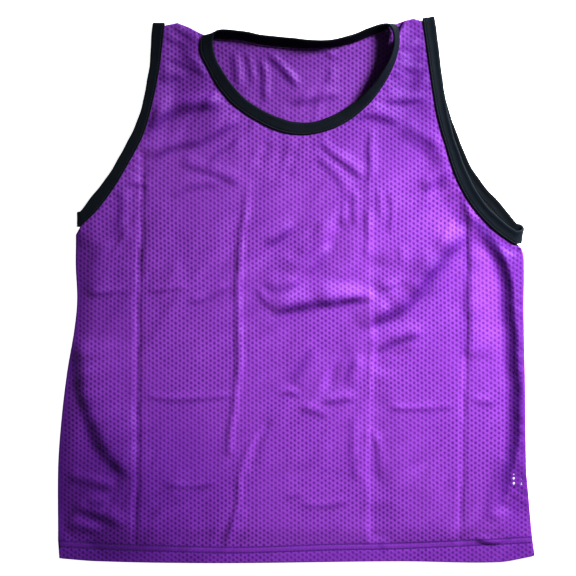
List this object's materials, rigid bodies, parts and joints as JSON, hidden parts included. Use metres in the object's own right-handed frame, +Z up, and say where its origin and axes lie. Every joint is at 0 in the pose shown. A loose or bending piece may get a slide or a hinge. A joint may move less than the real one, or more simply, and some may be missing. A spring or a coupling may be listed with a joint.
{
  "type": "training pinnie",
  "caption": "Sleeveless mesh training pinnie laid flat, front up, with bound scoop neck and cut-away armholes, a turned hem, pressed creases and a neck rim that stands up.",
  "frame": {"origin": "middle of the garment's outline, on the surface it lies on", "axes": "+Y from the hem to the neck, +X to the right as seen from above with the front up, +Z up off the surface"},
  "size_m": [0.5008, 0.5746, 0.0189],
  "materials": {
    "mesh_cloth": "bright purple polyester knit with rows of small pin holes and a soft sheen",
    "rib_tape": "near-black folded rib knit tape, matt, with paler edge creases",
    "label_tape": "blank white woven label tape"
  },
  "bodies": {
    "root": {"front_panel": "mesh_cloth", "back_panel": "mesh_cloth", "neck_binding": "rib_tape", "armhole_binding_left": "rib_tape", "armhole_binding_right": "rib_tape", "care_label": "label_tape"}
  },
  "joints": []
}
